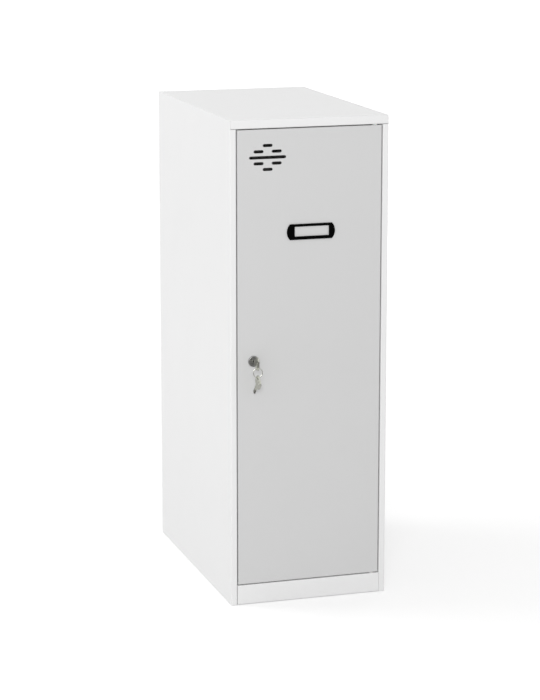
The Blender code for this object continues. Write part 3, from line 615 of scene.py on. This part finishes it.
card_back = card_low.y + CARD_THICKNESS
stud_reach = (CARD_WINDOW_WIDTH / 2 + half_straight) / 2 + CARD_END_BULGE / 2
stud_length = card_high.y - card_back
for x in (-stud_reach, stud_reach):
    bmesh.ops.create_cone(
        card, cap_ends=True, segments=CARD_STUD_STEPS, radius1=CARD_STUD_RADIUS,
        radius2=CARD_STUD_RADIUS, depth=stud_length,
        matrix=Matrix.Translation((x, 0, -stud_length / 2)),
    )
card_centre = (card_low + card_high) / 2
card_place = Matrix.Translation((card_centre.x, card_back, card_centre.z))
bmesh.ops.transform(card, matrix=card_place @ Matrix.Rotation(pi / 2, 4, "X"), verts=card.verts)
add_piece("card_frame_moulding", card, "card_frame")

# %% [markdown]
# ## The lock's body
#
# The part of a cam lock that stays still is turned from one bar: a round face outside the door, a
# threaded barrel through it. Its half section is drawn once and spun round the axis, in many more
# steps than the CAD takes, because the face is the first thing that a hand goes to. The thread is
# a row of ridges, and the edge of the face is rounded after the spin.

# %% Draw the half section of the lock's body
housing_low, housing_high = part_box("lock_housing")
plug_low, plug_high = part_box("lock_plug")
CLEARANCE = 0.0003
BARREL_RADIUS = 0.008
THREAD_PITCH = 0.001
THREAD_DEPTH = 0.0005
THREAD_FROM_DOOR = 0.0015
FACE_RECESS = 0.0004
FACE_LAND = 0.0014

face_radius = (housing_high.x - housing_low.x) / 2
bore_radius = (plug_high.x - plug_low.x) / 2 + CLEARANCE
root_radius = BARREL_RADIUS - THREAD_DEPTH
face_y, end_y = housing_low.y, housing_high.y
behind_face = DOOR_FACE - CLEARANCE
section = [
    (bore_radius, face_y + FACE_RECESS),
    (bore_radius + FACE_LAND, face_y + FACE_RECESS),
    (bore_radius + FACE_LAND + FACE_RECESS, face_y),
    (face_radius, face_y),
    (face_radius, behind_face),
    (BARREL_RADIUS, behind_face),
]
threads = int((end_y - DOOR_FACE - THREAD_FROM_DOOR) / THREAD_PITCH)
for thread in range(threads):
    crest = DOOR_FACE + THREAD_FROM_DOOR + thread * THREAD_PITCH
    section += [(BARREL_RADIUS, crest), (root_radius, crest + THREAD_PITCH / 2)]
section += [(root_radius, end_y), (bore_radius, end_y)]
print(len(section), "points in the half section,", threads, "threads")

# %% Spin the lock's body
SPIN_STEPS = 96
FACE_ROUND = 0.0013
FACE_ROUND_STEPS = 5
ON_THE_RIM = 0.00001

housing = bmesh.new()
line = [
    housing.verts.new((lock_axis.x + radius, y, lock_axis.z)) for radius, y in section
]
edges = [housing.edges.new(pair) for pair in zip(line, line[1:] + line[:1])]
bmesh.ops.spin(
    housing, geom=line + edges, cent=lock_axis, axis=(0, 1, 0), angle=2 * pi, steps=SPIN_STEPS,
    use_merge=True,
)
bmesh.ops.remove_doubles(housing, verts=housing.verts, dist=TOUCHING)
bmesh.ops.recalc_face_normals(housing, faces=housing.faces)


def on_the_rim(vert):
    """Whether a vertex lies on the outer edge of the lock's face."""
    out = sqrt((vert.co.x - lock_axis.x) ** 2 + (vert.co.z - lock_axis.z) ** 2)
    return abs(vert.co.y - face_y) < TOUCHING and abs(out - face_radius) < ON_THE_RIM


face_rim = [edge for edge in housing.edges if all(on_the_rim(vert) for vert in edge.verts)]
round_over(housing, face_rim, FACE_ROUND, FACE_ROUND_STEPS, clamp=False)
print(len(face_rim), "edges rounded on the face")
add_piece("lock_body", housing, "lock_housing")

# %% [markdown]
# ## The keys
#
# Both keys are stamped from flat nickel-plated brass. The head has a long slot across it, so that
# the key can hang from a ring. The lengths along a key are counted from the door's face, with
# minus outside the door, since the key in the lock has to meet the plug there.

# %% Measure a key
key_low, key_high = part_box("key")
KEY_THICKNESS = key_high.x - key_low.x
KEY_HEAD_WIDTH = key_high.z - key_low.z
KEY_HEAD_LENGTH = 0.020
KEY_HEAD_ROUND = 0.007
KEY_SLOT_LENGTH = 0.017
KEY_SLOT_WIDTH = 0.004
KEY_SLOT_FROM_END = 0.0055
KEY_NECK_HEIGHT = 0.0082
KEY_BLADE_HEIGHT = 0.007
KEY_POINT = 0.0025
KEY_END = key_low.y - DOOR_FACE
KEY_SHOULDER = face_y - CLEARANCE - DOOR_FACE
KEY_TIP = key_high.y - DOOR_FACE
print("key", round((KEY_TIP - KEY_END) * 1000, 1), "mm long")

# %% [markdown]
# ## The head of a key
#
# A key is drawn flat first. A round-cornered rectangle makes the outline of the head, a narrow
# one inside it makes the slot, and faces are bridged between the two outlines. Nothing has to be
# cut that way, so the slot's round ends stay clean.

# %% Draw the head of a key
CORNER_STEPS = 10
NEARLY_HALF = 0.499


def rounded_outline(bm, length, width, centre_x, corner):
    """The edges of a rectangle with round corners."""
    verts = bmesh.ops.create_grid(bm, x_segments=1, y_segments=1, size=0.5)["verts"]
    bmesh.ops.scale(bm, verts=verts, vec=(length, width, 1))
    bmesh.ops.translate(bm, verts=verts, vec=(centre_x, 0, 0))
    rounded = bmesh.ops.bevel(
        bm, geom=verts, offset=corner, offset_type="OFFSET", segments=CORNER_STEPS,
        profile=0.5, affect="VERTICES", material=-1,
    )
    face = next(face for face in bm.faces if rounded["verts"][0] in face.verts)
    edges = list(face.edges)
    bmesh.ops.delete(bm, geom=[face], context="FACES_ONLY")
    return edges


def furthest(edges):
    """The edge that lies furthest towards the key's tip."""
    return max(edges, key=lambda edge: edge.verts[0].co.x + edge.verts[1].co.x)


def draw_head(bm):
    """The head with its slot. Returns the head's edge on the blade's side."""
    head_middle = KEY_END + KEY_HEAD_LENGTH / 2
    head = rounded_outline(bm, KEY_HEAD_LENGTH, KEY_HEAD_WIDTH, head_middle, KEY_HEAD_ROUND)
    slot_middle = KEY_END + KEY_SLOT_FROM_END
    slot_round = KEY_SLOT_WIDTH * NEARLY_HALF
    slot = rounded_outline(bm, KEY_SLOT_WIDTH, KEY_SLOT_LENGTH, slot_middle, slot_round)
    bmesh.ops.bridge_loops(bm, edges=head + slot)
    return furthest(bm.edges)


print("the head is", round(KEY_HEAD_WIDTH * 1000, 1), "mm across")

# %% [markdown]
# ## The neck and the blade
#
# The neck and the blade are drawn out of the head's straight side, each narrower than the last,
# so all of the key stays one sheet. The blade's lower edge is cut into flat steps of different
# depth. Inside a real lock each step lifts one wafer to its height. A step has four corners, each
# given by its place along the step's pitch and by its share of the step's depth.

# %% Draw the neck and the blade
KEY_STEP_SHARES = (0.18, 0.34, 0.12, 0.28, 0.20)
STEP_CORNERS = ((-0.42, 0), (-0.14, 1), (0.14, 1), (0.42, 0))


def edges_in(geom):
    return [item for item in geom if isinstance(item, bmesh.types.BMEdge)]


def step_out(bm, edge, half_height, x):
    """Draws the middle of an upright edge out to x, at this half height. Returns its end."""
    split = bmesh.ops.bisect_edges(bm, edges=[edge], cuts=2)["geom_split"]
    low, high = sorted(verts_in(split), key=lambda vert: vert.co.y)
    low.co.y, high.co.y = -half_height, half_height
    middle = next(link for link in low.link_edges if link.other_vert(low) == high)
    drawn = bmesh.ops.extrude_edge_only(bm, edges=[middle])["geom"]
    for vert in verts_in(drawn):
        vert.co.x = x
    return furthest(edges_in(drawn))


def cut_steps(bm, edge):
    """Cuts the blade's lower edge into the steps that lift the lock's wafers."""
    start, end = sorted(vert.co.x for vert in edge.verts)
    pitch = (end - start) / len(KEY_STEP_SHARES)
    cuts = len(STEP_CORNERS) * len(KEY_STEP_SHARES)
    split = bmesh.ops.bisect_edges(bm, edges=[edge], cuts=cuts)["geom_split"]
    points = sorted(verts_in(split), key=lambda vert: vert.co.x)
    for number, point in enumerate(points):
        step, corner = divmod(number, len(STEP_CORNERS))
        along, depth = STEP_CORNERS[corner]
        point.co.x = start + (step + 0.5 + along) * pitch
        point.co.y += depth * KEY_STEP_SHARES[step] * KEY_BLADE_HEIGHT


def draw_blade(bm, side):
    """The neck, the stepped blade and its point, out of this side of the head."""
    shoulder = step_out(bm, side, KEY_NECK_HEIGHT / 2, KEY_SHOULDER)
    blade_end = step_out(bm, shoulder, KEY_BLADE_HEIGHT / 2, KEY_TIP - KEY_POINT)
    low_edge = next(
        edge for end in blade_end.verts for edge in end.link_edges
        if edge != blade_end and all(vert.co.y < 0 for vert in edge.verts)
    )
    cut_steps(bm, low_edge)
    drawn = bmesh.ops.extrude_edge_only(bm, edges=[blade_end])["geom"]
    for vert in verts_in(drawn):
        vert.co.x, vert.co.y = KEY_TIP, 0
    bmesh.ops.remove_doubles(bm, verts=bm.verts, dist=TOUCHING)


print(len(KEY_STEP_SHARES), "steps on the blade")

# %% [markdown]
# ## The groove, the thickness and the hollows
#
# A groove runs along both sides of the blade, and both sides of the head are pressed in a little.
# The groove's lines are cut across the flat sheet, where that is easy. The sheet then gets its
# thickness and its broken edges, and the faces of the head and the groove are inset and sunk.
# The last lines write how far each vertex takes the blade's painted shade.

# %% Put a key together
KEY_EDGE = 0.00022
HEAD_HOLLOW_INSET = 0.0013
HEAD_HOLLOW_DEPTH = 0.00022
GROOVE_LOW, GROOVE_HIGH = 0.0001, 0.0016
GROOVE_INSET = 0.0002
GROOVE_DEPTH = 0.0004
BLADE_SHADE_FADE = 0.001
STRAIGHT_UP = 0.999
OUTSIDE_FROM = 0.49


def cut_line(bm, head_side, point, normal):
    """Cuts the faces beyond the head's side along a plane."""
    faces = [face for face in bm.faces if face.calc_center_median().x > head_side]
    geom = dict.fromkeys(item for face in faces for item in (face, *face.edges, *face.verts))
    bmesh.ops.bisect_plane(bm, geom=list(geom), dist=TOUCHING, plane_co=point, plane_no=normal)


def thicken(bm):
    """Gives the flat key its thickness, half to each side."""
    bmesh.ops.recalc_face_normals(bm, faces=bm.faces)
    raised = bmesh.ops.extrude_face_region(bm, geom=bm.faces[:])["geom"]
    bmesh.ops.translate(bm, verts=verts_in(raised), vec=(0, 0, KEY_THICKNESS))
    bmesh.ops.translate(bm, verts=bm.verts, vec=(0, 0, -KEY_THICKNESS / 2))
    bmesh.ops.recalc_face_normals(bm, faces=bm.faces)


def sink(bm, faces, inset, depth):
    bmesh.ops.inset_region(
        bm, faces=faces, thickness=inset, depth=-depth, use_even_offset=True,
        use_boundary=True,
    )


def hollow_side(bm, up, head_side, groove_ends):
    """Sinks the head and the groove on the side of the key that faces this way."""
    head, groove = [], []
    for face in bm.faces:
        middle = face.calc_center_median()
        outside = abs(middle.z) > KEY_THICKNESS * OUTSIDE_FROM
        if face.normal.z * up <= STRAIGHT_UP or not outside:
            continue
        if middle.x < head_side:
            head.append(face)
        elif groove_ends[0] < middle.x < groove_ends[1] and GROOVE_LOW < middle.y < GROOVE_HIGH:
            groove.append(face)
    sink(bm, head, HEAD_HOLLOW_INSET, HEAD_HOLLOW_DEPTH)
    sink(bm, groove, GROOVE_INSET, GROOVE_DEPTH)


def make_key():
    """A key lying flat: x runs from its head to its tip, and is 0 level with the door's face."""
    bm = bmesh.new()
    side = draw_head(bm)
    head_side = side.verts[0].co.x
    draw_blade(bm, side)
    groove_ends = (head_side + KEY_POINT, KEY_TIP - KEY_POINT)
    for y in (GROOVE_LOW, GROOVE_HIGH):
        cut_line(bm, head_side, (0, y, 0), (0, 1, 0))
    for x in groove_ends:
        cut_line(bm, head_side, (x, 0, 0), (1, 0, 0))
    thicken(bm)
    break_edges(bm, KEY_EDGE)
    for up in (1, -1):
        hollow_side(bm, up, head_side, groove_ends)
    # The blade's painted shade fades in over a millimetre past the shoulder.
    blade_shade = bm.verts.layers.float.new("blade_shade")
    for vert in bm.verts:
        vert[blade_shade] = min(1, max(0, (vert.co.x - KEY_SHOULDER) / BLADE_SHADE_FADE))
    return bm


print("a groove of", round((GROOVE_HIGH - GROOVE_LOW) * 1000, 1), "mm along the blade")

# %% [markdown]
# ## The key in the lock
#
# One key stands in the lock, edge on to the door. The same drawing makes both keys, and only the
# last turn and place differ. The flat key's x becomes the way into the lock, and its y points up.

# %% Put the key in the lock
ALONG_LOCK = Euler((pi / 2, 0, pi / 2)).to_matrix().to_4x4()
key_place = Matrix.Translation((lock_axis.x, DOOR_FACE, lock_axis.z))
key_bm = make_key()
bmesh.ops.transform(key_bm, matrix=key_place @ ALONG_LOCK, verts=key_bm.verts)
add_piece("key_in_lock", key_bm, "key")

# %% [markdown]
# ## The spare key
#
# The spare key hangs from the ring by one end of its slot, so its weight tips it in its own plane
# and its point swings towards the door. The point of the slot that rests on the wire is found on
# the flat key, and that point goes to the joint that the key swings on.

# %% Hang the spare key
ring_low, ring_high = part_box("key_ring")
WIRE_RADIUS = (ring_high.y - ring_low.y) / 2
SLOT_PLAY = KEY_SLOT_WIDTH / 2 - WIRE_RADIUS - CLEARANCE
SPARE_TILT = radians(42)
SPARE_TWIST = radians(4)

tipped = Matrix.Rotation(SPARE_TILT - pi / 2, 4, "X")
spare_turn = Matrix.Rotation(SPARE_TWIST, 4, "Z") @ tipped @ ALONG_LOCK
up_on_key = spare_turn.to_3x3().transposed() @ Vector((0, 0, 1))
slot_round_y = (KEY_SLOT_LENGTH - KEY_SLOT_WIDTH) / 2
held = Vector((KEY_END + KEY_SLOT_FROM_END, slot_round_y, 0)) + up_on_key * SLOT_PLAY
spare_pivot = Matrix.Translation(joints["spare_key_swing"]["pos_m"])
spare_bm = make_key()
spare_place = spare_pivot @ spare_turn @ Matrix.Translation(-held)
bmesh.ops.transform(spare_bm, matrix=spare_place, verts=spare_bm.verts)
add_piece("spare_key_hanging", spare_bm, "spare_key")

# %% [markdown]
# ## The split ring
#
# The ring is a split ring: two turns of flat wire side by side, which a key is worked on to from
# one end. A torus would be a closed ring. A flat oval is spun twice round the axis instead, and
# each turn moves it along by the wire's thickness.

# %% Wind the split ring
RING_TURNS = 2
RING_STEPS = 144
WIRE_STEPS = 16
WIRE_WIDTH = 0.00125
WIRE_SHARE = 0.94

ring_centre = (ring_low + ring_high) / 2
ring_radius = (ring_high.z - ring_low.z) / 2 - WIRE_RADIUS
turn_width = 2 * WIRE_RADIUS / (RING_TURNS + 1)
ring = bmesh.new()
oval = bmesh.ops.create_circle(ring, cap_ends=True, radius=0.5, segments=WIRE_STEPS)["verts"]
bmesh.ops.scale(ring, verts=oval, vec=(WIRE_WIDTH, turn_width * WIRE_SHARE, 1))
start = ring_centre + Vector((ring_radius, -turn_width * RING_TURNS / 2, 0))
bmesh.ops.translate(ring, verts=oval, vec=start)
bmesh.ops.spin(
    ring, geom=ring.verts[:] + ring.edges[:] + ring.faces[:], cent=ring_centre,
    axis=(0, 1, 0), dvec=(0, turn_width * RING_TURNS / RING_STEPS, 0),
    angle=2 * pi * RING_TURNS, steps=RING_STEPS, use_merge=False,
)
add_piece("split_ring", ring, "key_ring")

# %% [markdown]
# ## The studio
#
# The locker was photographed on white paper under soft light from all sides, a little stronger
# from the left. The room's own light is the world. What the camera and the polished metal see of
# it is pure white, and what falls on the paint is set apart, so that white paint stays a shade
# below the paper.

# %% Light the room
WORLD_LIGHT = 0.72
WHITE = (1, 1, 1, 1)
world = bpy.data.worlds.new("studio")
world.use_nodes = True
bpy.context.scene.world = world
room = Recipe(world.node_tree)
room.tree.nodes.remove(room.tree.nodes["Background"])
kinds = ("Camera", "Glossy", "Transmission")
rays = [room.node("ShaderNodeLightPath", output=f"Is {kind} Ray") for kind in kinds]
seen = rays[0] + rays[1] + rays[2]
inputs = {"Color": WHITE, "Strength": WORLD_LIGHT}
on_the_paint = room.node("ShaderNodeBackground", inputs=inputs)
backdrop = room.node("ShaderNodeBackground", inputs={"Color": WHITE, "Strength": 1.0})
mixed = room.node("ShaderNodeMixShader", inputs={0: seen, 1: on_the_paint, 2: backdrop})
room.feed(room.tree.nodes["World Output"].inputs["Surface"], mixed)
print("world at", WORLD_LIGHT)

# %% [markdown]
# ## Lamps
#
# Three soft lamps shape the box. One at the back left makes the side the brightest face. One
# stands a little over the camera's line of sight. It shines into the gaps round the door, so that
# they stay thin grey lines and not black ones. A third, behind the locker, is there for whoever
# walks round it.

# %% Hang the lamps
LAMPS = {
    "left_window": {"place": (-2.8, 1.4, 2.0), "size": 2.2, "power": 41},
    "over_camera": {"place": (-1.0, -3.2, 1.5), "size": 1.0, "power": 35},
    "behind": {"place": (2.8, 3.2, 0.5), "size": 1.2, "power": 26},
}
AIM = Vector((0, 0, 0.5))
for name, lamp in LAMPS.items():
    data = bpy.data.lights.new(name, "AREA")
    data.shape = "DISK"
    data.size = lamp["size"]
    data.energy = lamp["power"]
    light = bpy.data.objects.new(name, data)
    light.location = lamp["place"]
    light.rotation_euler = (AIM - Vector(lamp["place"])).to_track_quat("-Z", "Y").to_euler()
    bpy.context.collection.objects.link(light)
    print(name, lamp["power"], "W")

# %% [markdown]
# ## The white paper
#
# The floor is a wide pale sheet. To the camera it is lifted a little by a glow, so that it reads
# as plain white, and the glow is too weak to hide the soft shadow at the locker's foot. It grows
# with the distance, because the lamps don't reach the far end. Lifting the sheet with more light
# instead would wash out the white paint.

# %% Mix the paper
PAPER_LIFT = 0.33
PAPER_LIFT_PER_METRE = 0.06
PAPER_CLOUD_SIZE = 0.4
PAPER_DRIFT = 0.004
NO_LIGHT = (0, 0, 0, 1)

paper = Finish("white_paper", (0.70, 0.70, 0.70), 0.9, gloss=0.1)
paper.shade(paper.noise(PAPER_CLOUD_SIZE), PAPER_DRIFT)
from_camera = paper.node("ShaderNodeLightPath", output="Is Camera Ray")
no_glow = paper.node("ShaderNodeEmission", inputs={"Color": NO_LIGHT, "Strength": 0.0})
distance = paper.node(
    "ShaderNodeVectorMath", {"operation": "LENGTH"}, {0: paper.place}, output="Value"
)
strength = PAPER_LIFT + PAPER_LIFT_PER_METRE * distance
glow = paper.node("ShaderNodeEmission", inputs={"Color": WHITE, "Strength": strength})
lift = paper.node("ShaderNodeMixShader", inputs={0: from_camera, 1: no_glow, 2: glow})
surface = Signal(paper, paper.shader.outputs["BSDF"])
lifted = paper.node("ShaderNodeAddShader", inputs={0: surface, 1: lift})
paper.feed(paper.tree.nodes["Material Output"].inputs["Surface"], lifted)
print("paper lifted by", PAPER_LIFT)

# %% [markdown]
# ## Laying the paper
#
# The paper is one square, far wider than the picture, so that its edge never shows. It lies half
# a millimetre under the locker's foot, because two faces at the same height would flicker. It
# belongs to the studio and not to the locker.

# %% Lay the paper
def lay_sheet(name, width, length, place, material):
    """A flat sheet of the studio, facing up."""
    bm = bmesh.new()
    corners = bmesh.ops.create_grid(bm, x_segments=1, y_segments=1, size=0.5)["verts"]
    bmesh.ops.scale(bm, verts=corners, vec=(width, length, 1))
    bmesh.ops.translate(bm, verts=corners, vec=place)
    mesh = bpy.data.meshes.new(name)
    bm.to_mesh(mesh)
    bm.free()
    mesh.materials.append(material)
    sheet = bpy.data.objects.new(name, mesh)
    bpy.context.collection.objects.link(sheet)
    return sheet


PAPER_SIZE = 30.0
FOOT_GAP = 0.0005
paper_place = (0, 0, cad_box[0].z - FOOT_GAP)
lay_sheet("paper_floor", PAPER_SIZE, PAPER_SIZE, paper_place, paper.material)
print("paper", PAPER_SIZE, "m across")

# %% [markdown]
# ## A dark card for the metal
#
# Polished metal shows what stands round it. In a room that is white all over it loses its shape,
# so photographers lay a dark card where only the metal mirrors it. In the photograph the front of
# the lock and the front edge of the key are dark, while their sides are light, so the card lies
# in front and to the right. Neither the camera nor the shadows see it.

# %% Lay the dark card
DARK_CARD_PLACE = (0.75, -2.3, 0.02)
DARK_CARD_WIDTH = 2.2
DARK_CARD_LENGTH = 2.0
DARK_CARD_CLOUD_SIZE = 0.3
DARK_CARD_DRIFT = 0.1

dark = Finish("dark_card", (0.02, 0.02, 0.02), 0.9, gloss=0.0)
dark.shade(dark.noise(DARK_CARD_CLOUD_SIZE), DARK_CARD_DRIFT)
dark_card = lay_sheet(
    "dark_card", DARK_CARD_WIDTH, DARK_CARD_LENGTH, DARK_CARD_PLACE, dark.material
)
dark_card.visible_camera = False
dark_card.visible_diffuse = False
dark_card.visible_transmission = False
dark_card.visible_shadow = False
print("dark card at", DARK_CARD_PLACE)

# %% [markdown]
# ## The view transform
#
# The Standard view keeps each colour as it was written.

# %% Set the view transform
bpy.context.scene.view_settings.view_transform = "Standard"
bpy.context.view_layer.update()
